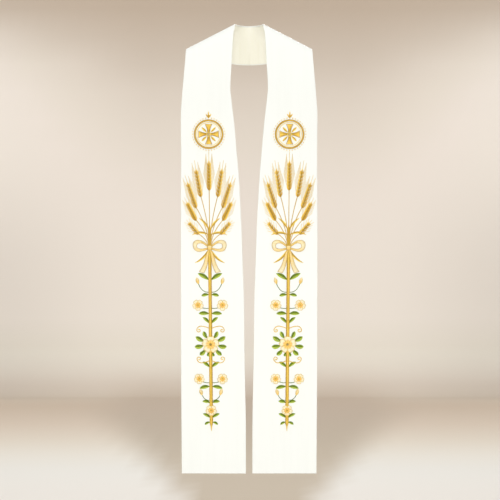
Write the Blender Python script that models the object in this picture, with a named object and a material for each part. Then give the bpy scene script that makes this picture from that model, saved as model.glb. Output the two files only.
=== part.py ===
"""A wedding stole as it hangs when worn, with no wearer in it.

Two long halves, wide at the hem and narrow at the neck, hang down the front. Each passes over a shoulder and
round the back of the neck, where the two meet in a seam. Each half is a stiffened face cloth with a lining behind
it, set in a little from every edge but the seam.

The origin is the middle of the neck opening, level with the top of the shoulders. The front faces -Y, +Z is up,
and left and right are those of someone who looks at the front.
"""

import math
from collections import namedtuple

import bpy
from mathutils import Vector

# Every size below is in millimetres, and every angle in degrees. The mesh is made in metres.
MM = 0.001

# The cloth
FACE_THICKNESS = 1.6
LINING_THICKNESS = 1.0
GAP = 0.3
LINING_INSET = 4.0

# The front, from the shoulder line down: the cloth rounds the shoulder, eases over the chest and then hangs plumb
SHOULDER_RADIUS = 55.0
SHOULDER_TURN = 62.0
CHEST_RADIUS = 409.0

# The back, from the shoulder line round to the seam behind the neck
NECK_DEPTH = 62.0
BACK_DEPTH = 110.0
BACK_DROP = 120.0
BACK_FALL_SHAPE = 1.9
NECKLINE_DRAW_IN = 0.16
BACK_CAMBER = 4.0

# One row for each section of the front. along is the distance down the cloth from the shoulder line, inner and
# outer are the edges' distances from the middle, lead is how much lower the outer end lies than the inner one,
# and back is how far it lies behind it.
Section = namedtuple("Section", "along inner outer lead back")
FRONT = (
    Section(0, 42.3, 196.6, 79, 0),
    Section(40, 44.6, 197.6, 79, 2),
    Section(60, 48.2, 198.4, 79, 3),
    Section(120, 52.0, 202.2, 74, 8),
    Section(160, 53.8, 204.6, 65.5, 11),
    Section(190, 55.6, 206.3, 58, 13),
    Section(235, 57.8, 208.7, 46, 15.5),
    Section(250, 57.9, 209.6, 42, 16),
    Section(265, 56.5, 210.8, 38, 16.5),
    Section(310, 51.4, 211.6, 27, 17),
    Section(372, 44.5, 211.2, 15, 17),
    Section(433, 39.3, 210.5, 7, 16),
    Section(494, 33.9, 210.6, 3, 15),
    Section(555, 29.9, 210.9, 1, 14),
    Section(677, 23.8, 211.2, 0, 11.5),
    Section(799, 19.5, 211.2, 0, 9),
    Section(921, 15.6, 210.8, 0, 7),
    Section(1043, 14.6, 210.6, 0, 5),
    Section(1165, 12.4, 210.1, 0, 3),
    Section(1287, 10.2, 209.3, 0, 1.5),
    Section(1437, 10.0, 208.1, 0, 0),
)
SHOULDER_LINE = FRONT[0]
HEM = FRONT[-1].along

# How finely the cloth is divided
SHOULDER_STEP = 10.0
CHEST_STEP = 22.0
HANG_STEP = 52.0
BACK_STEPS = 18
COLUMNS = 6

IVORY_FACE = (0.93, 0.92, 0.86, 1.0)
CREAM_LINING = (0.88, 0.84, 0.71, 1.0)


def tangent(table, index, column):
    """The slope of one column at a row, eased so that a curve through the rows doesn't overshoot them."""
    def rise(i):
        return (getattr(table[i + 1], column) - getattr(table[i], column)) / (table[i + 1].along - table[i].along)

    if index == 0:
        return rise(0)
    if index == len(table) - 1:
        return rise(index - 1)
    before, after = rise(index - 1), rise(index)
    if before * after <= 0:
        return 0.0
    return 2 * before * after / (before + after)


def read(table, along, column):
    """A column's value between rows, from a smooth curve through them."""
    i = max(k for k in range(len(table) - 1) if table[k].along <= along)
    span = table[i + 1].along - table[i].along
    t = (along - table[i].along) / span
    start, end = getattr(table[i], column), getattr(table[i + 1], column)
    leaving, arriving = span * tangent(table, i, column), span * tangent(table, i + 1, column)
    return (
        (2 * t**3 - 3 * t**2 + 1) * start
        + (t**3 - 2 * t**2 + t) * leaving
        + (3 * t**2 - 2 * t**3) * end
        + (t**3 - t**2) * arriving
    )


def side_profile(along):
    """How far forward and how far down the cloth has gone at a distance along it from the shoulder line."""
    turn = math.radians(SHOULDER_TURN)
    shoulder_arc = SHOULDER_RADIUS * turn
    chest_arc = CHEST_RADIUS * (math.pi / 2 - turn)
    angle = min(along, shoulder_arc) / SHOULDER_RADIUS
    forward = SHOULDER_RADIUS * math.sin(angle)
    down = SHOULDER_RADIUS * (1 - math.cos(angle))
    if along > shoulder_arc:
        angle = turn + min(along - shoulder_arc, chest_arc) / CHEST_RADIUS
        forward += CHEST_RADIUS * (math.sin(angle) - math.sin(turn))
        down += CHEST_RADIUS * (math.cos(turn) - math.cos(angle))
        down += max(0.0, along - shoulder_arc - chest_arc)
    return forward, down


def front_section(along):
    """The inner and outer ends of a section of the front, on the half at +X."""
    forward, down = side_profile(along)
    inner = Vector((read(FRONT, along, "inner"), -forward, -down))
    outer = Vector(
        (
            read(FRONT, along, "outer"),
            read(FRONT, along, "back") - forward,
            -down - read(FRONT, along, "lead"),
        )
    )
    return inner, outer


def back_section(turn):
    """The inner and outer ends of a section of the back: turn is 0 on the shoulder line and 90 at the seam."""
    sine, cosine = math.sin(math.radians(turn)), max(0.0, math.cos(math.radians(turn)))
    inner = Vector((SHOULDER_LINE.inner * cosine * (1 - NECKLINE_DRAW_IN * sine), NECK_DEPTH * sine, 0))
    fall = (BACK_DROP - SHOULDER_LINE.lead) * cosine**BACK_FALL_SHAPE
    outer = Vector((SHOULDER_LINE.outer * cosine, BACK_DEPTH * sine, fall - BACK_DROP))
    return inner, outer


def stations():
    """Where the sections lie, from the hem up and round to the seam, as (part, distance or turn)."""
    shoulder_arc = SHOULDER_RADIUS * math.radians(SHOULDER_TURN)
    chest_end = shoulder_arc + CHEST_RADIUS * math.radians(90 - SHOULDER_TURN)
    stretches = (
        (HEM - LINING_INSET, chest_end, HANG_STEP),
        (chest_end, shoulder_arc, CHEST_STEP),
        (shoulder_arc, 0.0, SHOULDER_STEP),
    )
    found = [("front", HEM)]
    for start, end, step in stretches:
        count = math.ceil((start - end) / step)
        found += [("front", start + (end - start) * k / count) for k in range(count)]
    found += [("back", 90 * k / BACK_STEPS) for k in range(BACK_STEPS + 1)]
    return found


def grid():
    """The cloth's middle points for the half at +X: rows from the hem to the seam, columns from inner to outer."""
    rows = []
    for part, place in stations():
        inner, outer = front_section(place) if part == "front" else back_section(place)
        inset = LINING_INSET / (outer - inner).length
        shares = [0.0, *(inset + (1 - 2 * inset) * k / COLUMNS for k in range(COLUMNS + 1)), 1.0]
        row = [inner.lerp(outer, share) for share in shares]
        if part == "back":
            swell = BACK_CAMBER * math.sin(math.radians(place))
            outward = Vector((0, outer.z - inner.z, inner.y - outer.y)).normalized() * -1
            row = [p + outward * swell * 4 * s * (1 - s) for p, s in zip(row, shares)]
        rows.append(row)
    return rows


def outward_normals(rows):
    """The direction out of the cloth at each point, away from the wearer. Across the seam it has no sideways part."""
    last_row, last_column = len(rows) - 1, len(rows[0]) - 1
    normals = []
    for i, row in enumerate(rows):
        found = []
        for j in range(len(row)):
            across = row[min(j + 1, last_column)] - row[max(j - 1, 0)]
            upward = rows[min(i + 1, last_row)][j] - rows[max(i - 1, 0)][j]
            if i == last_row:
                upward = Vector((upward.x, 0, 0))
            found.append(across.cross(upward).normalized())
        normals.append(found)
    return normals


def wall(name, rows, normals, near, far, mirrored, material):
    """One closed wall of cloth between two distances out from the cloth's points, as an object."""
    side = -1 if mirrored else 1
    height, width = len(rows), len(rows[0])
    half_seam = Vector((GAP / 2, 0, 0))
    points = []
    for out in (far, near):
        for row, found in zip(rows, normals):
            for point, normal in zip(row, found):
                place = point + normal * out + half_seam
                points.append((side * place.x * MM, place.y * MM, place.z * MM))

    def at(layer, i, j):
        return (layer * height + i) * width + j

    faces = []
    for i in range(height - 1):
        for j in range(width - 1):
            for layer in (0, 1):
                a, b = at(layer, i, j), at(layer, i, j + 1)
                c, d = at(layer, i + 1, j + 1), at(layer, i + 1, j)
                triangles = [(a, b, c), (a, c, d)]
                faces += triangles if layer == 0 else [t[::-1] for t in triangles]
    rim = [(0, j) for j in range(width)]
    rim += [(i, width - 1) for i in range(1, height)]
    rim += [(height - 1, j) for j in range(width - 2, -1, -1)]
    rim += [(i, 0) for i in range(height - 2, 0, -1)]
    for (i, j), (k, m) in zip(rim, rim[1:] + rim[:1]):
        a, b, c, d = at(0, i, j), at(0, k, m), at(1, k, m), at(1, i, j)
        faces += [(b, a, d), (b, d, c)]
    if mirrored:
        faces = [face[::-1] for face in faces]

    mesh = bpy.data.meshes.new(name)
    mesh.from_pydata(points, [], faces)
    mesh.shade_smooth()
    mesh.set_sharp_from_angle(angle=math.radians(40))
    mesh.materials.append(material)
    made = bpy.data.objects.new(name, mesh)
    bpy.context.scene.collection.objects.link(made)
    return made


def cloth_material(name, colour, roughness):
    material = bpy.data.materials.new(name)
    material.use_nodes = True
    shader = material.node_tree.nodes["Principled BSDF"]
    shader.inputs["Base Color"].default_value = colour
    shader.inputs["Roughness"].default_value = roughness
    shader.inputs["Metallic"].default_value = 0.0
    return material


def main():
    for old in list(bpy.data.objects):
        bpy.data.objects.remove(old)
    face_cloth = cloth_material("ivory face cloth", IVORY_FACE, 0.75)
    lining_cloth = cloth_material("cream lining", CREAM_LINING, 0.5)

    rows = grid()
    normals = outward_normals(rows)
    # The lining takes the face's own points, without its edge columns and its hem row, and lies behind them.
    inner_rows = [row[1:-1] for row in rows[1:]]
    inner_normals = [row[1:-1] for row in normals[1:]]
    stole = bpy.data.objects.new("stole", None)
    bpy.context.scene.collection.objects.link(stole)
    for side, mirrored in (("left", True), ("right", False)):
        half = wall(f"half_{side}", rows, normals, 0.0, FACE_THICKNESS, mirrored, face_cloth)
        lining = wall(
            f"lining_{side}",
            inner_rows,
            inner_normals,
            -GAP - LINING_THICKNESS,
            -GAP,
            mirrored,
            lining_cloth,
        )
        half.parent = stole
        lining.parent = half


main()
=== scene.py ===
import math
import random
from collections import namedtuple

import bmesh
import bpy
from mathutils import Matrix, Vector
from mathutils.bvhtree import BVHTree


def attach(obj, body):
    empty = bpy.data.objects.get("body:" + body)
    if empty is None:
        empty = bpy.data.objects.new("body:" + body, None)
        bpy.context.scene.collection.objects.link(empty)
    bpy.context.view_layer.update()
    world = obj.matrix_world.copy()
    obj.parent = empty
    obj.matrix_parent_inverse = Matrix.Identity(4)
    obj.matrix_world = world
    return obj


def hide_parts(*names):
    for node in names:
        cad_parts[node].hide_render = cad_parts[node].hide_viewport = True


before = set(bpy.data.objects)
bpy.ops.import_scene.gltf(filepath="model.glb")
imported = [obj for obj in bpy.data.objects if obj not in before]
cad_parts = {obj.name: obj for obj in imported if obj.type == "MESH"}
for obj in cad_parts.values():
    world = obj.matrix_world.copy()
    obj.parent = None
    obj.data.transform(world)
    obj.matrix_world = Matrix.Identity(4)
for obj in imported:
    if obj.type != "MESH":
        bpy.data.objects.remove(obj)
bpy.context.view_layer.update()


# The view: level with the middle of the stole and 7 m in front of it, through a long lens, so that the two
# fronts hang straight and the neck opening is seen a little from below.
def add_object(name, data):
    """A new object at the origin, in the scene."""
    made = bpy.data.objects.new(name, data)
    bpy.context.scene.collection.objects.link(made)
    return made


camera = add_object("camera", bpy.data.cameras.new("camera"))
camera.location = (0.0027, -7.1, -0.7075)
camera.rotation_euler = (math.radians(90), 0, 0)
camera.data.sensor_width = 36.0
camera.data.lens = 163.0
camera.data.clip_end = 60.0
bpy.context.scene.camera = camera


# The room: one seamless sheet of warm pale paint with painted shade and a painted shadow in it, under soft
# lamps and an even sky. It is flat below the stole and swept up far behind it, so that the stole can be
# walked round.
class Wire:
    """A socket of a node tree, which sums and products are written on as they are on a number."""

    def __init__(self, tree, socket=None):
        self.tree = tree
        self.socket = socket

    def node(self, kind, settings, values, output=0):
        """A new node beside this socket: its settings are set first, then its sockets' values or links."""
        made = self.tree.nodes.new(kind)
        for name, value in settings.items():
            if name == "stops":
                ramp = made.color_ramp
                while len(ramp.elements) < len(value):
                    ramp.elements.new(1.0)
                for element, (place, colour) in zip(ramp.elements, value):
                    element.position = place
                    element.color = (*colour, 1.0)
            else:
                setattr(made, name, value)
        for key, value in values.items():
            if isinstance(value, Wire):
                self.tree.links.new(value.socket, made.inputs[key])
            else:
                made.inputs[key].default_value = value
        return Wire(self.tree, made.outputs[output])

    def maths(self, operation, *terms):
        return self.node("ShaderNodeMath", {"operation": operation}, dict(enumerate(terms)))

    def __add__(self, other):
        return self.maths("ADD", self, other)

    def __sub__(self, other):
        return self.maths("SUBTRACT", self, other)

    def __mul__(self, other):
        return self.maths("MULTIPLY", self, other)

    def sine(self):
        return self.maths("SINE", self)

    def below(self, limit):
        return self.maths("LESS_THAN", self, limit)

    def part(self, axis):
        return self.node("ShaderNodeSeparateXYZ", {}, {0: self}, axis)

    def noise(self, scale, detail):
        values = {"Vector": self, "Scale": scale, "Detail": detail}
        return self.node("ShaderNodeTexNoise", {}, values, "Fac")

    def bump(self, strength):
        values = {"Height": self, "Strength": strength, "Distance": 1.0}
        return self.node("ShaderNodeBump", {}, values)


def new_finish(name, constants):
    """A material, a wire to write its nodes with, and its shader, with what is constant already set."""
    material = bpy.data.materials.new(name)
    material.use_nodes = True
    shader = material.node_tree.nodes["Principled BSDF"]
    for socket, value in constants.items():
        shader.inputs[socket].default_value = value
    return material, Wire(material.node_tree), shader


def feed(shader, socket, wire):
    wire.tree.links.new(wire.socket, shader.inputs[socket])


def add_mesh(name, points, faces, material):
    """A smooth mesh of one material."""
    mesh = bpy.data.meshes.new(name)
    mesh.from_pydata(points, [], faces)
    mesh.materials.append(material)
    mesh.shade_smooth()
    return add_object(name, mesh)


def grid_faces(height, width, first=0):
    """The faces between a grid of points, which are numbered row by row from the first."""
    corners = [first + i * width + j for i in range(height - 1) for j in range(width - 1)]
    return [(a, a + 1, a + 1 + width, a + width) for a in corners]


FLOOR = -1.74
FLOOR_FRONT = -12.0
WALL = 9.0
WALL_TOP = 6.0
SWEEP_RADIUS = 0.35
ROOM_HALF_WIDTH = 13.0
# How far apart the rows of the sheet are on the floor and the wall, its columns, and the rows in its sweep
FLOOR_STEP = 0.3
WALL_STEP = 0.2
COLUMN_STEP = 0.1
SWEEP_ROWS = 12
# Each tone of the paint, by how far it lies back along the floor and then up the wall from below the stole.
# The darker tones along the floor's far edge and up towards the top of the wall are painted shade.
PAINT_AND_SHADE_TONES = (
    (2.4, (0.755, 0.722, 0.670)),
    (3.5, (0.756, 0.738, 0.690)),
    (4.3, (0.765, 0.728, 0.655)),
    (5.2, (0.742, 0.672, 0.573)),
    (6.3, (0.708, 0.608, 0.503)),
    (7.9, (0.645, 0.540, 0.435)),
    (8.7, (0.660, 0.575, 0.480)),
    (8.9, (0.695, 0.610, 0.520)),
    (9.15, (0.860, 0.815, 0.720)),
    (9.4, (0.915, 0.860, 0.785)),
    (9.9, (0.900, 0.840, 0.768)),
    (10.25, (0.885, 0.818, 0.750)),
    (10.65, (0.815, 0.750, 0.665)),
    (10.95, (0.753, 0.680, 0.598)),
    (11.2, (0.652, 0.572, 0.487)),
    (11.65, (0.520, 0.425, 0.335)),
)
# The painted shade at the wall's head hangs lowest over the middle, rises to each side and is level again at
# its top.
# A pair of numbers, here and below, is where something starts to fade in and how far that takes.
HEAD_RISE = (9.6, 1.2)
HEAD_TOP = (11.0, 0.7)
HEAD_MIDDLE = 0.64
HEAD_REACH = 1.2
HEAD_STEEPNESS = 0.75
HEAD_CURVE = 1.8
HEAD_LEVELLING = 0.85
# The painted shadow of the stole on the floor, a dark pool: it widens as it runs back from the stole, and its
# tone goes from near to far
SHADOW_POOL_TONES = (Vector((0.52, 0.45, 0.36)), Vector((0.585, 0.495, 0.405)))
POOL_FADE = (4.5, 4.0)
POOL_START = 2.24
POOL_HALF_WIDTH = 0.262
POOL_WIDEST = 0.91
POOL_SPREAD = 0.129
POOL_SIDE = (0.75, 0.5)
POOL_FRONT = (-0.5, 1.0)
POOL_BACK = (8.6, 0.5)
# The corner where the floor meets the wall has painted shade, a little darker at its far sides
CORNER_SHADE = 0.125
CORNER_START = (8.3, 0.6)
CORNER_SIDE = (0.7, 1.2)


def fade(value, span):
    """From 0 to 1 with a gentle start and end, as a value passes a span of (start, length)."""
    start, length = span
    share = min(1.0, max(0.0, (value - start) / length))
    return share * share * (3 - 2 * share)


def paint_and_shade_tone(x, run):
    """The paint's tone with its painted shade and shadow, some way out from the middle and back along the
    floor or up the wall.
    """
    # Where the painted shade at the wall's head is looked up: it arches up towards each side.
    raised = fade(run, HEAD_RISE)
    arch = HEAD_STEEPNESS * min(HEAD_REACH, max(0.0, abs(x) - HEAD_MIDDLE)) ** HEAD_CURVE
    looked_up = run - raised * arch * (1 - HEAD_LEVELLING * fade(run, HEAD_TOP))
    tones = [(place, Vector(tone)) for place, tone in PAINT_AND_SHADE_TONES]
    tone = tones[0][1]
    for (start, before), (end, after) in zip(tones, tones[1:]):
        if looked_up > start:
            tone = before.lerp(after, min(1.0, (looked_up - start) / (end - start)))
    # The painted shadow pool behind the stole: how wide it reaches, and where it is dark.
    reach = min(POOL_WIDEST, POOL_HALF_WIDTH + POOL_SPREAD * max(0.0, run - POOL_START))
    shadow_pool = (1 - fade(abs(x) / reach, POOL_SIDE)) * fade(run, POOL_FRONT) * (1 - fade(run, POOL_BACK))
    near, far = SHADOW_POOL_TONES
    # Painted shade in the far corners where the floor meets the wall.
    tone *= 1 - CORNER_SHADE * (1 - raised) * fade(run, CORNER_START) * fade(abs(x), CORNER_SIDE)
    return tone.lerp(near.lerp(far, fade(run, POOL_FADE)), shadow_pool)


def build_room():
    """The sheet of paint, in rows across it that stand closer where its tones change."""
    corner = WALL - SWEEP_RADIUS
    profile = [(y, FLOOR, y) for y in (FLOOR_FRONT, -0.6, 0.0, 0.6, 1.2)]
    profile += [(y, FLOOR, y) for y in (1.8 + FLOOR_STEP * k for k in range(23))]
    for k in range(SWEEP_ROWS + 1):
        angle = math.pi / 2 * k / SWEEP_ROWS
        y = corner + SWEEP_RADIUS * math.sin(angle)
        z = FLOOR + SWEEP_RADIUS * (1 - math.cos(angle))
        profile.append((y, z, corner + SWEEP_RADIUS * angle))
    foot = profile[-1]
    profile += [(WALL, foot[1] + up, foot[2] + up) for up in (WALL_STEP * k for k in range(1, 15))]
    profile.append((WALL, WALL_TOP, foot[2] + WALL_TOP - foot[1]))
    columns = [-ROOM_HALF_WIDTH, *(COLUMN_STEP * k for k in range(-25, 26)), ROOM_HALF_WIDTH]
    points = [(x, y, z) for y, z, _ in profile for x in columns]
    # The paint's colour is its warm pale tone with painted shade and a painted shadow, kept on the sheet as
    # "paint".
    paint, wire, shader = new_finish("warm pale paint", {"Roughness": 0.85, "Specular IOR Level": 0.2})
    feed(shader, "Base Color", wire.node("ShaderNodeAttribute", {"attribute_name": "paint"}, {}, "Color"))
    room = add_mesh("room", points, grid_faces(len(profile), len(columns)), paint)
    attribute = room.data.attributes.new("paint", "FLOAT_COLOR", "POINT")
    tones = [(*paint_and_shade_tone(x, run), 1.0) for _, _, run in profile for x in columns]
    attribute.data.foreach_set("color", [part for tone in tones for part in tone])


# One row for each lamp: where it hangs, what it is aimed at, its width, its power in watts and how wide its
# beam opens, in degrees. All are white.
Lamp = namedtuple("Lamp", "name place aim width watts beam")
LAMPS = (
    Lamp("key_lamp", (0.0, -6.2, -1.0), (0.0, 0.0, -0.6), 0.8, 22.2, 80),
    Lamp("left_lamp", (-1.8, -6.0, -1.4), (0.0, -0.1, -0.9), 1.5, 12.2, 80),
    Lamp("right_lamp", (1.8, -6.0, -1.4), (0.0, -0.1, -0.9), 1.5, 9.9, 80),
    Lamp("top_lamp", (0.0, 0.1, 2.6), (0.0, 0.0, 0.0), 1.6, 34.0, 180),
    Lamp("back_lamp", (0.5, 3.0, 1.0), (0.0, 0.0, -0.5), 1.0, 5.0, 60),
    Lamp("wall_lamp", (0.0, 2.6, 3.4), (0.0, 8.0, -0.6), 4.0, 145.0, 180),
)
for lamp in LAMPS:
    light = bpy.data.lights.new(lamp.name, "AREA")
    light.size = lamp.width
    light.energy = lamp.watts
    light.spread = math.radians(lamp.beam)
    hung = add_object(lamp.name, light)
    hung.location = lamp.place
    hung.visible_camera = False
    hung.rotation_euler = (Vector(lamp.aim) - Vector(lamp.place)).to_track_quat("-Z", "Y").to_euler()

SKY_STRENGTH = 0.72
sky = bpy.data.worlds.new("even sky")
sky.use_nodes = True
sky.node_tree.nodes["Background"].inputs["Color"].default_value = (1.0, 1.0, 1.0, 1.0)
sky.node_tree.nodes["Background"].inputs["Strength"].default_value = SKY_STRENGTH
bpy.context.scene.world = sky
bpy.context.scene.view_settings.view_transform = "Standard"
build_room()


# The face cloth: two stiffened halves of ivory worsted, cut wide at the hem and narrow at the neck. Each one
# hangs down a front, passes over the shoulder line and rounds the neck to the seam behind it.
MM = 0.001
# Sizes are in millimetres and degrees from here on. Seen from the side, the cloth follows one arc over the
# shoulder and one over the chest. Behind, it rounds the neck and falls from the shoulder line to the seam.
CLOTH_THICKNESS = 1.6
SEAM_GAP = 0.04
SHOULDER_RADIUS = 55.0
SHOULDER_TURN = 62.0
CHEST_RADIUS = 409.0
NECK_DEPTH = 62.0
BACK_DEPTH = 110.0
BACK_DROP = 120.0
BACK_FALL_SHAPE = 1.9
NECKLINE_DRAW_IN = 0.16
BACK_CAMBER = 4.0

# One row for each section of the front: how far down the cloth it lies, where its inner and
# outer ends are from the middle, and how much lower and further back its outer end is than its inner one
Section = namedtuple("Section", "along inner outer lead back")
FRONT = (
    Section(0, 42.3, 196.6, 79, 0),
    Section(40, 44.6, 197.6, 79, 2),
    Section(60, 48.2, 198.4, 79, 3),
    Section(120, 52.0, 202.2, 74, 8),
    Section(160, 53.8, 204.6, 65.5, 11),
    Section(190, 55.6, 206.3, 58, 13),
    Section(235, 57.8, 208.7, 46, 15.5),
    Section(250, 57.9, 209.6, 42, 16),
    Section(265, 56.5, 210.8, 38, 16.5),
    Section(310, 51.4, 211.6, 27, 17),
    Section(372, 44.5, 211.2, 15, 17),
    Section(433, 39.3, 210.5, 7, 16),
    Section(494, 33.9, 210.6, 3, 15),
    Section(555, 29.9, 210.9, 1, 14),
    Section(677, 23.8, 211.2, 0, 11.5),
    Section(799, 19.5, 211.2, 0, 9),
    Section(921, 15.6, 210.8, 0, 7),
    Section(1043, 14.6, 210.6, 0, 5),
    Section(1165, 12.4, 210.1, 0, 3),
    Section(1287, 10.2, 209.3, 0, 1.5),
    Section(1437, 10.0, 208.1, 0, 0),
)
SHOULDER_LINE = FRONT[0]
HEM = FRONT[-1].along
SHOULDER_ARC = SHOULDER_RADIUS * math.radians(SHOULDER_TURN)
CHEST_END = SHOULDER_ARC + CHEST_RADIUS * math.radians(90 - SHOULDER_TURN)


def slope(index, column):
    """The slope of one column of FRONT at a row, eased so that a curve through the rows can't overshoot."""
    rises = [
        (getattr(FRONT[i + 1], column) - getattr(FRONT[i], column)) / (FRONT[i + 1].along - FRONT[i].along)
        for i in (index - 1, index)
        if 0 <= i < len(FRONT) - 1
    ]
    if len(rises) == 1:
        return rises[0]
    before, after = rises
    return 2 * before * after / (before + after) if before * after > 0 else 0.0


def front_column(along, column):
    """A column of FRONT between its rows, from a smooth curve through them."""
    i = max(k for k in range(len(FRONT) - 1) if FRONT[k].along <= along)
    span = FRONT[i + 1].along - FRONT[i].along
    t = (along - FRONT[i].along) / span
    start, end = getattr(FRONT[i], column), getattr(FRONT[i + 1], column)
    leaving, arriving = span * slope(i, column), span * slope(i + 1, column)
    return (
        (2 * t**3 - 3 * t**2 + 1) * start
        + (t**3 - 2 * t**2 + t) * leaving
        + (3 * t**2 - 2 * t**3) * end
        + (t**3 - t**2) * arriving
    )


def front_ends(along):
    """The inner and outer ends of a section of the front, on the half at +X."""
    turn = math.radians(SHOULDER_TURN)
    angle = min(along, SHOULDER_ARC) / SHOULDER_RADIUS
    forward = SHOULDER_RADIUS * math.sin(angle)
    down = SHOULDER_RADIUS * (1 - math.cos(angle))
    if along > SHOULDER_ARC:
        angle = turn + (min(along, CHEST_END) - SHOULDER_ARC) / CHEST_RADIUS
        forward += CHEST_RADIUS * (math.sin(angle) - math.sin(turn))
        down += CHEST_RADIUS * (math.cos(turn) - math.cos(angle)) + max(0.0, along - CHEST_END)
    inner, outer, lead, back = [front_column(along, column) for column in Section._fields[1:]]
    return Vector((inner, -forward, -down)), Vector((outer, back - forward, -down - lead))


def back_ends(turn):
    """Both ends of a section of the back: its turn is 0 on the shoulder line and 90 at the seam."""
    sine, cosine = math.sin(math.radians(turn)), max(0.0, math.cos(math.radians(turn)))
    inner = Vector((SHOULDER_LINE.inner * cosine * (1 - NECKLINE_DRAW_IN * sine), NECK_DEPTH * sine, 0))
    fall = (BACK_DROP - SHOULDER_LINE.lead) * cosine**BACK_FALL_SHAPE
    return inner, Vector((SHOULDER_LINE.outer * cosine, BACK_DEPTH * sine, fall - BACK_DROP))


def evenly(start, end, step):
    """Values from start up to, but without, end, about a step apart."""
    count = max(1, math.ceil(abs(end - start) / step))
    return [start + (end - start) * k / count for k in range(count)]


# How far in from an edge a fold is drawn, and from where the cloth goes on in even columns and rows
FOLD_STEPS = (0.0, 0.1, 0.35, 0.8)
FIRST_COLUMN = 2.0
FIRST_ROW = 6.0
COLUMNS = 30
# How far apart the rows are on the front, on the chest, over the shoulder and, in degrees, round the neck
ROW_STEPS = (12.0, 7.0, 4.0, 1.5)
# The last turns before the seam, the turn from which its edge folds in, and how sharply it does
SEAM_TURNS = (88.8, 89.2, 89.5, 89.75, 89.9, 90.0)
SEAM_FOLD_START = 80.0
SEAM_SHARPNESS = 2.5
Place = namedtuple("Place", "point run across share front turn")


def cloth_grid(inset):
    """Places on the cloth's plane for the half at +X: rows from hem to seam, each from inner to outer."""
    hem = HEM - inset
    alongs = [hem - step for step in FOLD_STEPS]
    stations = (hem - FIRST_ROW, CHEST_END, SHOULDER_ARC, 0.0)
    for start, end, step in zip(stations, stations[1:], ROW_STEPS):
        alongs += evenly(start, end, step)
    turns = [*evenly(0.0, SEAM_TURNS[0], ROW_STEPS[-1]), *SEAM_TURNS]
    sections = [(*front_ends(along), along, 0.0) for along in alongs]
    sections += [(*back_ends(turn), 0.0, turn) for turn in turns]

    rows, run, before = [], 0.0, None
    for inner, outer, along, turn in sections:
        width = (outer - inner).length
        marks = [inset + step for step in FOLD_STEPS]
        first, last = inset + FIRST_COLUMN, width - inset - FIRST_COLUMN
        marks += [first + (last - first) * k / COLUMNS for k in range(COLUMNS + 1)]
        marks += [width - inset - step for step in reversed(FOLD_STEPS)]
        middle = inner.lerp(outer, 0.5)
        run += (middle - before).length if before else 0.0
        before = middle
        swell = BACK_CAMBER * math.sin(math.radians(turn))
        outward = Vector((0, outer.z - inner.z, inner.y - outer.y)).normalized() * -1
        row = []
        for mark in marks:
            share = mark / width
            point = inner.lerp(outer, share) + outward * swell * 4 * share * (1 - share)
            row.append(Place(point, run, mark, share, along, turn))
        rows.append(row)
    return rows


def flat_area(inset):
    """The cut area of one layer in square metres, before its edges are folded in."""
    rows = cloth_grid(inset)
    area = 0.0
    for lower, upper in zip(rows, rows[1:]):
        for a, b, c, d in zip(lower, lower[1:], upper[1:], upper):
            area += (c.point - a.point).cross(d.point - b.point).length / 2
    return area * MM * MM


def grid_normals(rows):
    """The direction out of the cloth at each place, away from the wearer."""
    last_row, last_column = len(rows) - 1, len(rows[0]) - 1
    normals = []
    for i, row in enumerate(rows):
        found = []
        for j in range(len(row)):
            sideways = row[min(j + 1, last_column)].point - row[max(j - 1, 0)].point
            upward = rows[min(i + 1, last_row)][j].point - rows[max(i - 1, 0)][j].point
            if i == last_row:
                upward = Vector((upward.x, 0, 0))
            found.append(sideways.cross(upward).normalized())
        normals.append(found)
    return normals


# The fronts hang almost plumb, in two shallow waves: how deep each is, how long it is down and across the
# cloth, and its phase. They grow from below the shoulder.
SWAYS = ((0.9, 431.0, 317.0, 0.7), (0.5, 239.0, -193.0, 2.3))
SWAY_GROWTH = (150.0, 300.0)
# Points of the skin that are nearer to each other than this become one
WELD = 0.01


def sway(place, side):
    """How far the waves push a place out. They differ from side to side."""
    wave = sum(
        size * math.sin(2 * math.pi * (place.front / long + place.across / wide) + phase * side)
        for size, long, wide, phase in SWAYS
    )
    return fade(place.front, SWAY_GROWTH) * wave


def no_puckers(place):
    return 0.0


def grain_map(place):
    """A place on the chart that the weave follows: its grain hangs straight down, in front and behind."""
    along = place.run + place.across * math.sin(math.radians(place.turn)) ** 2
    return place.point.x * MM, along * MM


def cloth_shell(name, side, inset, near, far, puckers, material):
    """A closed skin of cloth between two distances out from the cloth's plane, with softly folded edges."""
    rows = cloth_grid(inset)
    normals = grid_normals(rows)
    middle, half = (near + far) / 2, (far - near) / 2
    points, maps = [], []
    for layer in (1, -1):
        for row, found in zip(rows, normals):
            for place, normal in zip(row, found):
                to_edge = min(
                    place.across - row[0].across,
                    row[-1].across - place.across,
                    place.run,
                    place.point.x * SEAM_SHARPNESS if place.turn > SEAM_FOLD_START else half,
                )
                depth = min(half, max(0.0, to_edge))
                rounded = math.sqrt(max(0.0, half**2 - (half - depth) ** 2))
                out = middle + layer * rounded + sway(place, side) + puckers(place)
                point = place.point + normal * out + Vector((SEAM_GAP / 2, 0, 0))
                points.append((side * point.x * MM, point.y * MM, point.z * MM))
                maps.append(grain_map(place))

    height, width = len(rows), len(rows[0])
    faces = [face[::side] for face in grid_faces(height, width)]
    faces += [face[::-side] for face in grid_faces(height, width, height * width)]
    made = add_mesh(name, points, faces, material)
    chart = made.data.uv_layers.new(name="cloth")
    for loop in made.data.loops:
        chart.data[loop.index].uv = maps[loop.vertex_index]
    shape = bmesh.new()
    shape.from_mesh(made.data)
    bmesh.ops.remove_doubles(shape, verts=shape.verts, dist=WELD * MM)
    shape.to_mesh(made.data)
    shape.free()
    return made


# The pitch of the weave, how many slubs lie end to end in a metre, and the drifts of tone in one each way
WEAVE = 0.9 * MM
SLUBS = 14.0
DRIFTS = (60.0, 3.0)


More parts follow.
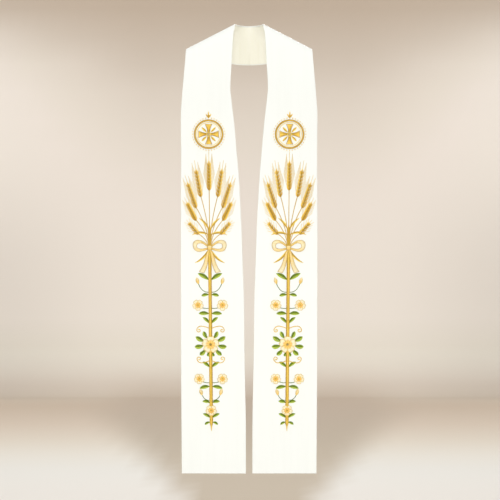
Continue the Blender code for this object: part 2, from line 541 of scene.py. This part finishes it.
def woven(name, constants, tone, streak_tone, weave_depth, slub_width):
    """A woven finish: fine threads both ways, and long faint slubs along the cloth that shift its tone."""
    material, wire, shader = new_finish(name, constants)
    chart = wire.node("ShaderNodeUVMap", {"uv_map": "cloth"}, {})
    across, along = chart.part("X"), chart.part("Y")
    place = wire.node("ShaderNodeCombineXYZ", {}, {"X": across * (1 / slub_width), "Y": along * SLUBS})
    slubs = place.noise(1.0, 2.0)
    place = wire.node("ShaderNodeCombineXYZ", {}, {"X": across * DRIFTS[0], "Y": along * DRIFTS[1]})
    drift = place.noise(1.0, 1.0)
    mixed = wire.node(
        "ShaderNodeMix",
        {"data_type": "RGBA"},
        {0: slubs * 0.45 + drift * 0.55, 6: (*streak_tone, 1.0), 7: (*tone, 1.0)},
        2,
    )
    feed(shader, "Base Color", mixed)
    crossings = (across * (2 * math.pi / WEAVE)).sine() * (along * (2 * math.pi / WEAVE)).sine()
    height = crossings * weave_depth + slubs * (2 * weave_depth)
    feed(shader, "Normal", height.bump(0.8))
    return material


SIDES = (("left", -1), ("right", 1))
ivory = woven(
    "ivory worsted",
    {"Roughness": 0.78, "Sheen Weight": 0.12, "Sheen Roughness": 0.5, "Specular IOR Level": 0.3},
    (0.838, 0.848, 0.808),
    (0.790, 0.798, 0.750),
    0.06 * MM,
    1.1 * MM,
)
faces_of_stole = {}
for word, side in SIDES:
    half = cloth_shell(f"face_{word}", side, 0.0, 0.0, CLOTH_THICKNESS, no_puckers, ivory)
    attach(half, "root")
    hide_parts(f"half_{word}")
    faces_of_stole[word] = half


# The lining: cream satin, cut a little smaller than each half and slip-stitched inside it. It shows inside
# the back of the neck, where it is eased round the curve and puckers a little.
LINING_INSET = 4.0
LINING_THICKNESS = 1.0
LINING_GAP = 0.3
PUCKER_DEPTH = 0.12
PUCKER_LENGTHS = (2.9, 1.7)


def neck_puckers(place):
    """Shallow ripples across the lining behind the neck, fading towards the shoulders and its edges."""
    eased = math.sin(math.radians(place.turn)) * math.sin(math.pi * place.share)
    long, short = PUCKER_LENGTHS
    ripple = math.sin(place.run / long) + 0.6 * math.sin(place.run / short + 4 * place.share)
    return PUCKER_DEPTH * eased * ripple


satin = woven(
    "cream satin",
    {"Roughness": 0.46, "Sheen Weight": 0.1, "Specular IOR Level": 0.4},
    (0.920, 0.914, 0.846),
    (0.822, 0.808, 0.670),
    0.03 * MM,
    5.5 * MM,
)
linings = {}
for word, side in SIDES:
    inside = -LINING_GAP - LINING_THICKNESS
    lining = cloth_shell(f"lining_shell_{word}", side, LINING_INSET, inside, -LINING_GAP, neck_puckers, satin)
    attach(lining, "root")
    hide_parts(f"lining_{word}")
    linings[word] = lining


# The thread: every stitch is a length of twisted thread, drawn tight so that it swells in its middle and
# dips into the cloth at both ends. A spindle stands for it, and a tree sets one at each stitch.
Stitch = namedtuple("Stitch", "start end thick tint puff lift")
# The spindle's sides, the length of its body and of its points as a share of half of that, and how far its
# middle swells out and its points dip in
SPINDLE = {"Sides": 4, "Body": 0.72, "Point": 0.39, "Belly": 0.14, "Dip": 0.35}
# What each point says of its stitch, in the order of a run
TOLD = {"run": "FLOAT_VECTOR", "outward": "FLOAT_VECTOR", "thick": "FLOAT", "puff": "FLOAT", "tint": "FLOAT"}


def stitch_tree():
    """Nodes that set a spindle on each point, along its run, facing outward and as thick as it says."""
    tree = bpy.data.node_groups.new("stitches", "GeometryNodeTree")
    kinds = {"Geometry": "NodeSocketGeometry", "Sides": "NodeSocketInt", "Thread": "NodeSocketMaterial"}
    for name in ("Geometry", *SPINDLE, "Thread"):
        kind = kinds.get(name, "NodeSocketFloat")
        tree.interface.new_socket(name, in_out="INPUT", socket_type=kind)
    tree.interface.new_socket("Geometry", in_out="OUTPUT", socket_type="NodeSocketGeometry")
    wire = Wire(tree)
    given = tree.nodes.new("NodeGroupInput")
    inputs = {socket.name: Wire(tree, socket) for socket in given.outputs if socket.name}

    # The spindle first stands on its end, one unit long. Its points are on its axis, its middle ring at 0.
    body = wire.node(
        "GeometryNodeMeshCylinder",
        {"fill_type": "TRIANGLE_FAN"},
        {"Vertices": inputs["Sides"], "Side Segments": 2, "Radius": 0.5, "Depth": inputs["Body"]},
    )
    place = wire.node("GeometryNodeInputPosition", {}, {})
    east, north, height = [place.part(axis) for axis in "XYZ"]
    is_tip = (east * east + north * north).below(0.01)
    is_middle = (height * height).below(0.01)
    sunk = is_tip * inputs["Dip"] - is_middle * inputs["Belly"]
    pointed = wire.node("ShaderNodeCombineXYZ", {}, {"X": sunk, "Z": is_tip * height * inputs["Point"]})
    shaped = wire.node("GeometryNodeSetPosition", {}, {"Geometry": body, "Offset": pointed})
    lying = wire.node("GeometryNodeTransform", {}, {"Geometry": shaped, "Rotation": (0.0, math.pi / 2, 0.0)})

    run, outward, thick, puff = [
        wire.node("GeometryNodeInputNamedAttribute", {"data_type": TOLD[name]}, {"Name": name})
        for name in ("run", "outward", "thick", "puff")
    ]
    axes = {"primary_axis": "X", "secondary_axis": "Z"}
    turned = wire.node("FunctionNodeAxesToRotation", axes, {0: run, 1: outward})
    length = wire.node("ShaderNodeVectorMath", {"operation": "LENGTH"}, {0: run}, "Value")
    size = wire.node("ShaderNodeCombineXYZ", {}, {"X": length, "Y": thick, "Z": puff})
    laid = wire.node(
        "GeometryNodeInstanceOnPoints",
        {},
        {"Points": inputs["Geometry"], "Instance": lying, "Rotation": turned, "Scale": size},
    )
    solid = wire.node("GeometryNodeRealizeInstances", {}, {"Geometry": laid})
    smooth = wire.node("GeometryNodeSetShadeSmooth", {}, {"Geometry": solid})
    dyed = wire.node("GeometryNodeSetMaterial", {}, {"Geometry": smooth, "Material": inputs["Thread"]})
    result = tree.nodes.new("NodeGroupOutput")
    tree.links.new(dyed.socket, result.inputs[0])
    return tree


def thread_finish(dye):
    """Lustrous thread whose tone runs through its dye's tones as a stitch's tint goes from 0 to 1."""
    gloss = {"Roughness": dye.roughness, "Metallic": dye.metallic, "Specular IOR Level": dye.specular}
    material, wire, shader = new_finish(f"{dye.name} thread", gloss)
    tint = wire.node("ShaderNodeAttribute", {"attribute_name": "tint"}, {}, "Fac")
    where = wire.node("ShaderNodeTexCoord", {}, {}, "Object")
    fleck = where.noise(900.0, 1.0)
    stops = list(zip((0.0, 0.5, 1.0), dye.tones))
    dyed = wire.node("ShaderNodeValToRGB", {"stops": stops}, {0: tint + (fleck - 0.5) * 0.25})
    feed(shader, "Base Color", dyed)
    feed(shader, "Normal", (fleck * (0.1 * MM)).bump(0.4))
    return material


# One row for each dye: how rough, metallic and shiny it is, and its tones in even steps of a stitch's tint
Dye = namedtuple("Dye", "name roughness metallic specular tones")
DYES = (
    Dye("gold", 0.36, 0.25, 0.4, ((0.43, 0.245, 0.024), (0.78, 0.525, 0.078), (1.0, 0.81, 0.19))),
    Dye("green", 0.45, 0.0, 0.25, ((0.08, 0.14, 0.008), (0.27, 0.37, 0.022), (0.52, 0.62, 0.08))),
    Dye("cream", 0.42, 0.0, 0.35, ((0.90, 0.85, 0.64), (0.92, 0.66, 0.17), (0.86, 0.38, 0.07))),
)
STITCHES = stitch_tree()
threads = {dye.name: thread_finish(dye) for dye in DYES}


def sew(name, runs, dye):
    """One piece of thread work from a list of (middle, run, outward, thick, puff, tint), in metres."""
    mesh = bpy.data.meshes.new(name)
    mesh.from_pydata([tuple(run[0]) for run in runs], [], [])
    for column, (label, kind) in enumerate(TOLD.items(), start=1):
        attribute = mesh.attributes.new(label, kind, "POINT")
        if kind == "FLOAT":
            attribute.data.foreach_set("value", [run[column] for run in runs])
        else:
            attribute.data.foreach_set("vector", [part for run in runs for part in run[column]])
    made = add_object(name, mesh)
    modifier = made.modifiers.new("stitches", "NODES")
    modifier.node_group = STITCHES
    values = {**SPINDLE, "Thread": threads[dye]}
    for item in STITCHES.interface.items_tree:
        if item.in_out == "INPUT" and item.name in values:
            modifier[item.identifier] = values[item.name]
    evaluated = made.evaluated_get(bpy.context.evaluated_depsgraph_get())
    sewn = bpy.data.meshes.new_from_object(evaluated)
    made.modifiers.clear()
    made.data = sewn
    for label in TOLD:
        if label != "tint" and label in sewn.attributes:
            sewn.attributes.remove(sewn.attributes[label])
    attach(made, "root")
    return made


def length_of(line):
    return sum((b - a).length for a, b in zip(line, line[1:]))


def walk(line, pitch=0.0, count=0):
    """Evenly spaced points along a line, each with the line's direction and the share of it gone by."""
    gone = [0.0]
    for a, b in zip(line, line[1:]):
        gone.append(gone[-1] + (b - a).length)
    count = count or max(2, round(gone[-1] / pitch))
    found, k = [], 0
    for step in range(count + 1):
        here = gone[-1] * step / count
        while k < len(line) - 2 and gone[k + 1] < here:
            k += 1
        a, b = line[k], line[k + 1]
        t = (here - gone[k]) / max(1e-6, gone[k + 1] - gone[k])
        found.append((a.lerp(b, t), (b - a).normalized(), step / count))
    return found


# The embroidery: gold, green and cream thread, worked on each front before the stole was made up. A cross in
# a beaded ring stands over a sheaf of wheat tied with a bow, and a straight flowering branch hangs from the
# tie. It is drawn flat, out from each front's middle line and down. One front mirrors the other.
# How far out the front's middle line is at the top and the bottom of the work, and how far down those are
MIDDLE_LINE_TOP = 126.0
MIDDLE_LINE_BOTTOM = 116.6
WORK_TOP = 282.0
WORK_BOTTOM = 1266.0
# The width of a stitch and of a fine one, and how far a stitch's tint strays
THREAD = 1.05
FINE = 0.8
TINT_SPREAD = 0.09
# The spacing of satin stitch, how far it reaches past its rails, and the shortest stitch of it that is made
PITCH = 0.88
TUCK = 0.45
SHORTEST = 0.6
# How high blossoms and ribbon lie over the stem
ABOVE = 0.9
PETALS = 5
spread = random.Random(11)
drawn = {"gold": [], "green": [], "cream": []}


def spot(out, down):
    return Vector((out, down))


def toward(angle):
    """A step of 1 mm at an angle in degrees, measured from straight up towards the outer side."""
    return spot(math.sin(math.radians(angle)), -math.cos(math.radians(angle)))


def aside(direction):
    return spot(-direction.y, direction.x)


def stitch(dye, start, end, tint, thick=THREAD, puff=1.3, lift=0.1):
    varied = min(1.0, max(0.0, tint + spread.uniform(-TINT_SPREAD, TINT_SPREAD)))
    drawn[dye].append(Stitch(start, end, thick, varied, puff, lift))


def curve(points, count=24):
    """Points along the Bezier curve that the given points pull."""
    line = []
    for k in range(count + 1):
        pulled = list(points)
        while len(pulled) > 1:
            pulled = [a.lerp(b, k / count) for a, b in zip(pulled, pulled[1:])]
        line.append(pulled[0])
    return line


def between(ends, share):
    """The number some way from the first of two ends to the second."""
    return ends[0] + (ends[1] - ends[0]) * share


def rail(origin, hand, pulls):
    """The curve that points pull, given as out and down from an origin, on one side of it."""
    return curve([origin + spot(hand * out, down) for out, down in pulls])


def ring(centre, radius, count):
    return [centre + radius * toward(360 * k / count) for k in range(count + 1)]


def satin_stitch(dye, left, right, tints, puff=1.5, lift=0.1, lean=0):
    """Stitches side by side from one rail to the other, their tint changing from the first to the last."""
    count = max(2, round((length_of(left) + length_of(right)) / 2 / PITCH))
    ends = [point for point, _, _ in walk(right, count=count)]
    for k, (start, _, t) in enumerate(walk(left, count=count)):
        end = ends[min(count, k + lean)]
        over = (end - start).normalized() * TUCK
        if (end - start).length > SHORTEST:
            stitch(dye, start - over, end + over, between(tints, t), puff=puff, lift=lift)


def cord(dye, line, width, tint, lift=0.3, slant=0.6):
    """A twisted cord laid along a line: short fat stitches side by side, all aslant."""
    strand = 0.4 * width + 0.3
    for point, direction, _ in walk(line, strand * 0.8):
        half = (aside(direction) + direction * slant) * width / 2
        stitch(dye, point - half, point + half, tint, thick=strand, puff=width * 0.6, lift=lift)


def stem_stitch(dye, line, tint, length=2.8, thick=FINE, lift=0.4):
    """A fine line, each stitch starting beside the end of the last."""
    points = walk(line, length)
    for (a, direction, _), (b, _, _) in zip(points, points[1:]):
        stitch(dye, a - direction * 0.5, b + direction * 0.5, tint, thick=thick, puff=thick, lift=lift)


def knot(centre, size, tint, lift=0.5):
    """A gold French knot: thread wound round and pulled down, as three short fat stitches that cross."""
    for reach in (size / 2 * toward(angle) for angle in (15, 75, 135)):
        stitch("gold", centre - reach, centre + reach, tint, thick=size * 0.72, puff=size * 0.8, lift=lift)


def knots_round(centre, radius, size, tint, lift):
    """Knots side by side in a ring, or a single one where the ring closes up."""
    count = max(1, int(2 * math.pi * radius / size))
    for point in ring(centre, radius, count)[:-1]:
        knot(point, size, tint, lift=lift)


def leaf(base, tip, width, bend=0.0, tints=(0.2, 0.8), dye="green", vein=0.0):
    """A leaf in two halves of slanting stitches, one darker than the other, with a vein between them."""
    rib = curve([base, base.lerp(tip, 0.5) + aside((tip - base).normalized()) * bend, tip])
    for point, direction, t in walk(rib, PITCH):
        reach = width / 2 * math.sin(math.pi * t**0.75) ** 0.85 if 0.02 < t < 0.99 else 0.0
        if reach < 0.5:
            continue
        for hand, tint in zip((-1, 1), tints):
            edge = point + aside(direction) * hand * reach + direction * reach * 0.8
            stitch(dye, point - direction * 0.3, edge, tint + 0.25 * (t - 0.3))
    if vein is not None:
        stem_stitch(dye, rib[:-3], vein, length=2.6, lift=0.8)


def grain(base, tip, width, tints, dye="gold"):
    """A plump grain or bud: satin aslant, swelling in the middle."""
    run = (tip - base).normalized()
    for point, _, t in walk([base, tip], PITCH):
        reach = width / 2 * math.sin(math.pi * (0.06 + 0.9 * t)) ** 0.7
        if reach > 0.3:
            lean = aside(run) * reach + run * reach * 0.35
            stitch(dye, point - lean, point + lean, between(tints, t), puff=width * 0.42)


def blossom(centre, radius, turn):
    """Five cream petals of long and short stitches, apricot within, round a heart of gold knots."""
    wedge = 360.0 / PETALS
    for middle in (turn + wedge * k for k in range(PETALS)):
        edge = []
        count = max(6, round(math.radians(wedge) * radius / PITCH))
        for step in range(count + 1):
            s = 2 * step / count - 1
            out = toward(middle + s * wedge * 0.46)
            reach = radius * (1 - 0.26 * s**4 - 0.08 * math.exp(-((s / 0.2) ** 2)))
            split = radius * (0.44, 0.56)[step % 2]
            tip = centre + out * reach
            edge.append(tip)
            stitch("cream", centre + out * (split - 1.2), tip, 0.04 + 0.16 * s * s, puff=1.5, lift=ABOVE)
            if step % 2:
                foot = centre + out * radius * 0.1
                stitch("cream", foot, centre + out * split, 0.5, puff=1.2, lift=ABOVE + 0.2)
        outline = [centre.lerp(edge[0], 0.3), *edge, centre.lerp(edge[-1], 0.3)]
        stem_stitch("gold", outline, 0.5, length=2.4, thick=0.9, lift=ABOVE + 0.7)
        for off, far in ((-9, 0.56), (0, 0.68), (9, 0.56)):
            streak = [centre + toward(middle + off) * radius * part for part in (0.16, far)]
            stem_stitch("cream", streak, 0.95, length=radius * 0.26, thick=0.7, lift=ABOVE + 0.8)
    heart = max(2.4, radius * 0.16)
    for share, tint in ((1.0, 0.65), (0.5, 0.3), (0.0, 0.1)):
        knots_round(centre, heart * share, 2.0, tint, lift=ABOVE + 1.1 - 0.2 * share)


def bud(base, tip, width):
    """A closed bud of cream satin with a yellow foot and a gold edge, held in three green sepals."""
    run = tip - base
    side = aside(run.normalized())
    grain(base, tip, width, (0.5, 0.05), dye="cream")
    for hand in (-1, 1):
        bulge = base.lerp(tip, 0.5) + side * hand * width * 0.95
        stem_stitch("gold", curve([base, bulge, tip]), 0.45, length=2.4, thick=0.9, lift=0.8)
        leaf(base - run * 0.06, base.lerp(tip, 0.6) + side * hand * width * 0.45, width * 0.4, vein=None)
    leaf(base - run * 0.1, base.lerp(tip, 0.45), width * 0.36, vein=None)


# A wheat ear's grains, from its foot to its top: how far up and out they reach and how wide they are. Then
# their awns: how long they are, as a share of the ear's own length for them, and how far out they go.
GRAIN_UP = (14.5, 12.0)
GRAIN_OUT = (7.2, 5.4)
GRAIN_WIDTH = (6.4, 5.6)
AWN_SHARE = (1.15, 0.8)
AWN_OUT = (10.0, 4.0)
AWN_STITCH = {"length": 4.4, "thick": 1.1, "lift": 0.2}


def wheat_ear(base, tip, pairs, awn):
    """An ear of wheat: grains in pairs up a dark padded spine, each ending in a long fine awn."""
    run = (tip - base).normalized()
    length = (tip - base).length
    cord("gold", [base, tip], 3.6, 0.1, lift=0.1)
    stem_stitch("gold", [base, tip], 0.0, thick=1.2, lift=0.9)
    for k in range(pairs):
        t = k / (pairs - 1)
        root = base + run * length * 0.86 * t
        for hand, tints in ((-1, (0.35, 0.95)), (1, (0.1, 0.6))):
            side = aside(run) * hand
            end = root + run * between(GRAIN_UP, t) + side * between(GRAIN_OUT, t)
            grain(root + side * 1.6, end, between(GRAIN_WIDTH, t), tints)
            far = end + run * awn * between(AWN_SHARE, t) + side * between(AWN_OUT, t)
            bent = end.lerp(far, 0.5) + side * 1.5
            stem_stitch("gold", curve([end, bent, far], 8), 0.5, **AWN_STITCH)
    top = tip + run * 8.0
    grain(base + run * length * 0.9, top, 6.0, (0.2, 0.85))
    stem_stitch("gold", [top, top + run * awn * AWN_SHARE[1]], 0.5, **AWN_STITCH)


def scroll(start, heading, hand, sizes):
    """A gold cord that leaves the stem and rolls up, along (length, degrees turned) arcs set end to end."""
    line, here, angle = [start], start, heading
    for length, turn in sizes:
        steps = max(2, round(length / 1.5))
        for _ in range(steps):
            angle += turn / steps
            here = here + toward(angle * hand) * length / steps
            line.append(here)
    cord("gold", line, 2.6, 0.5, lift=0.35)
    knot(line[-1], 4.0, 0.85, lift=0.7)


# The radii of the corded rings and of the ring of knots, and what pulls each side of an arm of the cross,
# out from its middle and beside it
RING_RADIUS = 43.0
INNER_RING_RADIUS = 36.5
BEAD_RING_RADIUS = 50.0
BEADS = 36
ARM_PULLS = ((5, 3.4), (17, 3.0), (31, 11.0))


def cross_in_ring(centre):
    """A small cross whose four arms widen outwards, in two corded rings with a ring of knots round them."""
    cord("gold", ring(centre, RING_RADIUS, 90), 4.2, 0.45)
    for edge, tint in ((2.4, 0.0), (-2.4, 0.05)):
        stem_stitch("gold", ring(centre, RING_RADIUS + edge, 80), tint, thick=1.2)
    cord("gold", ring(centre, INNER_RING_RADIUS, 72), 2.2, 0.85)
    for point in ring(centre, BEAD_RING_RADIUS, BEADS)[:-1]:
        knot(point, 3.6, 0.6)
    for turn in (0, 90, 180, 270):
        way, side = toward(turn), toward(turn + 90)
        rails = [
            curve([centre + way * far + side * hand * wide for far, wide in ARM_PULLS])
            for hand in (-1, 1)
        ]
        satin_stitch("gold", rails[0], rails[1], (0.25, 0.8), puff=2.2)
        stem_stitch("gold", [*rails[0], *reversed(rails[1])], 0.0, length=2.6, thick=1.2, lift=1.0)
        spoke = toward(turn + 45)
        leaf(centre + spoke * 9, centre + spoke * 31, 7.5, tints=(0.4, 0.95), dye="gold", vein=0.05)
    cord("gold", ring(centre, 6.6, 24), 2.4, 0.9, lift=1.0)
    for radius, tint in ((4.4, 0.25), (2.2, 0.6), (0.0, 0.1)):
        knots_round(centre, radius, 2.1, tint, lift=0.9)
    for angle, reach in ((-36, 14), (0, 19), (36, 14)):
        base = centre + spot(0, -BEAD_RING_RADIUS - 1)
        grain(base, base + toward(angle) * reach, 5.4, (0.15, 0.85))


# The sheaf's ears on one side: the angle from the tie, how far off the ear's foot and tip are, its pairs of
# grains, and the length of its awns
Ear = namedtuple("Ear", "angle foot tip pairs awn")
EARS = (
    Ear(0, 178, 262, 8, 34),
    Ear(9.5, 160, 240, 7, 32),
    Ear(18.5, 130, 206, 7, 28),
    Ear(26.5, 94, 150, 6, 18),
    Ear(40, 54, 94, 4, 12),
)
# Its blades: how far out and up from the tie each starts and ends, and how far it bends
Blade = namedtuple("Blade", "start_out start_up out up bend")
BLADES = (Blade(4, 40, 56, 38, 15), Blade(3, 56, 34, 92, 8), Blade(5, -8, 48, -48, -12))
# What pulls each side of the wedge that the stalks lie on, out and down from the tie
WEDGE_PULLS = ((4, -2), (10, -44), (0, -74))


def sheaf(tie):
    """Nine ears on stalks that meet over a padded wedge and spread again below the tie, among blades."""
    wedge = [rail(tie, hand, WEDGE_PULLS) for hand in (-1, 1)]
    satin_stitch("gold", wedge[0], wedge[1], (0.1, 0.35), puff=0.9, lift=0.0)
    for ear in EARS:
        for hand in (-1, 1) if ear.angle else (1,):
            way = toward(ear.angle * hand)
            foot, tip = tie + way * ear.foot, tie + way * ear.tip
            gathered = tie + spot(hand * ear.angle * 0.12, 0)
            line = curve([gathered, gathered + spot(0, -0.5 * ear.foot), foot, foot + way * 6])
            cord("gold", line, 2.4, 0.3, lift=0.15)
            wheat_ear(foot, tip, ear.pairs, ear.awn)
            cut = tie + spot(-hand * ear.angle * 0.55, 42 - ear.angle * 0.3)
            cord("gold", curve([gathered, tie + spot(0, 18), cut]), 2.4, 0.25, lift=0.15)
    for blade in BLADES:
        for hand in (-1, 1):
            base = tie + spot(hand * blade.start_out, -blade.start_up)
            tip = tie + spot(hand * blade.out, -blade.up)
            leaf(base, tip, 7.5, -hand * blade.bend, tints=(0.25, 0.85), dye="gold", vein=0.05)


# What pulls the edges of the bow's ribbon on one side, out and down from the tie
LOOP = (((3, -3), (24, -32), (60, -28), (50, 1)), ((3, 4), (20, 10), (42, 20), (50, 1)))
LOOP_INSIDE = (((6, -1), (22, -20), (44, -17), (40, -1)), ((6, 1), (19, 4), (34, 8), (40, -1)))
TAIL = (((3, 4), (18, 28), (12, 48), (33, 74)), ((-2, 5), (8, 30), (2, 52), (19, 79)))
KNOT_CORNERS = ((-7, -6), (7, -6), (6.5, 7), (-6.5, 7))


def bow(tie):
    """A cream ribbon tied round the stalks: two loops, two tails and a square knot, edged in gold."""
    for hand in (-1, 1):
        rails = [rail(tie, hand, pulls) for pulls in (*LOOP, *LOOP_INSIDE, *TAIL)]
        upper, lower, upper_inner, lower_inner, tail_out, tail_in = rails
        satin_stitch("cream", tail_out, tail_in, (0.45, 0.05), lift=ABOVE)
        satin_stitch("cream", upper, upper_inner, (0.4, 0.06), lean=2, lift=ABOVE + 0.3)
        satin_stitch("cream", lower, lower_inner, (0.45, 0.15), lean=2, lift=ABOVE + 0.3)
        for edge in (*rails, [tail_out[-1], tail_in[-1]]):
            stem_stitch("gold", edge, 0.3, length=2.6, thick=1.2, lift=ABOVE + 0.9)
        for share in (0.25, 0.5, 0.75):
            crease = [upper[0].lerp(upper_inner[0], share), upper[9].lerp(upper_inner[9], share)]
            stem_stitch("gold", crease, 0.6, thick=FINE, lift=ABOVE + 1.1)
    a, b, c, d = [tie + spot(out, down) for out, down in KNOT_CORNERS]
    satin_stitch("cream", [a, d], [b, c], (0.15, 0.45), puff=2.6, lift=ABOVE + 0.9)
    stem_stitch("gold", [a, b, c, d, a], 0.15, length=2.4, thick=1.3, lift=ABOVE + 1.7)


# What is set in pairs on the branch: how far down it leaves the stem, how far out and up from there its far
# end is, and its size. For a scroll, out is the angle at which it leaves, and up the way it rolls.
Sprig = namedtuple("Sprig", "kind down out up size")
SPRIGS = (
    Sprig("leaf", 800, 38, 20, 14.0),
    Sprig("bud", 838, 36, 26, 10.5),
    Sprig("leaf", 846, 27, -4, 11.0),
    Sprig("blossom", 888, 38, 10, 17.0),
    Sprig("leaf", 905, 36, 0, 13.0),
    Sprig("scroll", 950, 62, 1, 1.0),
    Sprig("leaf", 934, 24, 18, 10.5),
    Sprig("leaf", 1070, 26, 16, 11.0),
    Sprig("scroll", 1050, 118, -1, 1.0),
    Sprig("blossom", 1118, 36, 12, 16.0),
    Sprig("leaf", 1130, 35, -6, 12.5),
    Sprig("bud", 1172, 28, 16, 10.0),
    Sprig("leaf", 1180, 27, 4, 10.5),
    Sprig("leaf", 1226, 26, 12, 10.0),
    Sprig("leaf", 1240, 20, -8, 8.5),
)
# A scroll's arcs: how long each is, and how many degrees it turns
SCROLL = ((26, 24), (20, 84), (15, 150), (9, 150))
# The stem's stretches between the blossoms: where each starts and ends, and how far apart its cords end
STEM = ((706, 976, 1.0), (1019, 1190, 1.0), (1217, 1252, 0.2))
# The stem's three cords: how far out each lies, its tint and its slant
CORDS = ((-3.3, 0.15, 0.8), (3.3, 0.35, 0.8), (0.0, 0.75, -0.8))
# The leaves round the large blossom, on one side: the angle, how far off the tip is, and the width
FAN = ((28, 46, 13.0), (62, 52, 15.0), (98, 50, 15.0), (134, 47, 14.0), (165, 38, 11.0))


def sprig(row, hand):
    """One row of SPRIGS on one side of the stem."""
    base, far = spot(hand * 4, row.down), spot(hand * row.out, row.down - row.up)
    if row.kind == "leaf":
        leaf(base, far, row.size, -hand * 4.0, tints=(0.2, 0.8)[::hand])
        return
    if row.kind == "scroll":
        scroll(base, row.out, hand, [(length * row.size, turn * row.up) for length, turn in SCROLL])
        return
    cord("green", curve([base, spot(hand * row.out * 0.7, row.down + 2), far]), 2.2, 0.1, lift=0.15)
    if row.kind == "bud":
        bud(far, far + spot(hand * 6, -19), row.size)
    else:
        blossom(far, row.size, 36.0 * hand)


def branch():
    """A straight stem of three gold cords, two blossoms on it, sprigs in pairs beside it and knots below."""
    for start, end, drawn_in in STEM:
        for off, tint, slant in CORDS:
            line = [spot(off, start), spot(off, end - 9), spot(off * drawn_in, end)]
            cord("gold", line, 4.2, tint, slant=slant)
    for row in SPRIGS:
        for hand in (-1, 1):
            sprig(row, hand)
    heart = spot(0, 1000)
    for angle, reach, width in FAN:
        for hand in (-1, 1):
            way = toward(hand * angle)
            leaf(heart + way * 22, heart + way * reach, width, hand * 3.0, tints=(0.2, 0.8)[::hand])
    blossom(heart, 27.0, 0.0)
    blossom(spot(0, 1204), 17.0, 36.0)
    for k in range(4):
        knot(spot(0, STEM[-1][1] + 3 + 3.6 * k), 5.0 - 0.8 * k, 0.6)


CROSS = spot(0, 349)
TIE = spot(0, 700)
cross_in_ring(CROSS)
sheaf(TIE)
branch()
bow(TIE)


def lay_on(ground, stitches, side):
    """Stitches drawn flat, laid straight back from a metre in front onto one half of the cloth."""
    toward_cloth = Vector((0, 1, 0))
    runs = []
    for made in stitches:
        hits = []
        for end in (made.start, made.end):
            share = (end.y - WORK_TOP) / (WORK_BOTTOM - WORK_TOP)
            middle_line = MIDDLE_LINE_TOP + (MIDDLE_LINE_BOTTOM - MIDDLE_LINE_TOP) * share
            start = Vector((side * (middle_line + end.x) * MM, -1.0, -end.y * MM))
            hits.append(ground.ray_cast(start, toward_cloth))
        (start, outward, _, _), (end, _, _, _) = hits
        middle = (start + end) / 2 + outward * made.lift * MM
        runs.append((middle, end - start, outward, made.thick * MM, made.puff * MM, made.tint))
    return runs


# Each piece of the work: its name, its dye, and how far down it starts and ends
PATCHES = (
    ("gold_sheaf", "gold", 0, 770),
    ("gold_branch", "gold", 770, HEM),
    ("green_leaves", "green", 0, HEM),
    ("cream_blossoms", "cream", 0, HEM),
)
work = {word: [] for word, _ in SIDES}
for word, side in SIDES:
    ground = BVHTree.FromObject(faces_of_stole[word], bpy.context.evaluated_depsgraph_get())
    for patch, dye, top, bottom in PATCHES:
        chosen = [made for made in drawn[dye] if top <= made.start.y < bottom]
        runs = lay_on(ground, chosen, side)
        work[word].append(sew(f"{patch}_{word}", runs, dye))


# The slip stitches: cream thread that catches each lining's folded edge to the face cloth, down both of its
# long sides and along its hem.
TACK_PITCH = 8.0
TACK_THICKNESS = 0.6
# How far in from the edge and out from the cloth's plane each stitch starts and ends
TACK_ENDS = ((3.0, -0.15), (5.2, -1.35))
# The hem's columns at either side that have no stitches
BARE_COLUMNS = 6


def edge_line(rows, normals, column, inward, far, out):
    """A line along one edge of the cloth, some way in from it and some way out from the cloth's plane."""
    line = []
    for row, found in zip(rows, normals):
        way = (row[column + inward].point - row[column].point).normalized()
        line.append(row[column].point + way * far + found[column] * out)
    return line


def slip_stitches(side):
    """The stitches of one half, along pairs of lines: down its inner and outer edges, and along its hem."""
    rows = cloth_grid(0.0)
    normals = grid_normals(rows)
    pairs = [
        [edge_line(rows, normals, column, inward, far, out) for far, out in TACK_ENDS]
        for column, inward in ((0, 1), (len(rows[0]) - 1, -1))
    ]
    hem = [place.point for place in rows[0][BARE_COLUMNS:-BARE_COLUMNS]]
    pairs.append([[point + Vector((0, -out, far)) for point in hem] for far, out in TACK_ENDS])
    runs, thick = [], TACK_THICKNESS * MM
    for outer, inner in pairs:
        count = round(length_of(outer) / TACK_PITCH)
        for (a, _, _), (b, _, _) in zip(walk(outer, count=count), walk(inner, count=count)):
            start, end = [Vector((side * (p.x + SEAM_GAP / 2), p.y, p.z)) * MM for p in (a, b)]
            outward = (end - start).cross(Vector((1, 0, 0)))
            runs.append(((start + end) / 2, end - start, outward.normalized(), thick, thick, 0.0))
    return runs


# The cloth in a half of the face and in a half of the lining, in square metres, before their edges are folded
# in
FACE_AREA = flat_area(0.0)
LINING_AREA = flat_area(LINING_INSET)
for word, side in SIDES:
    tacks = sew(f"slip_stitches_{word}", slip_stitches(side), "cream")
    half, lining = faces_of_stole[word], linings[word]
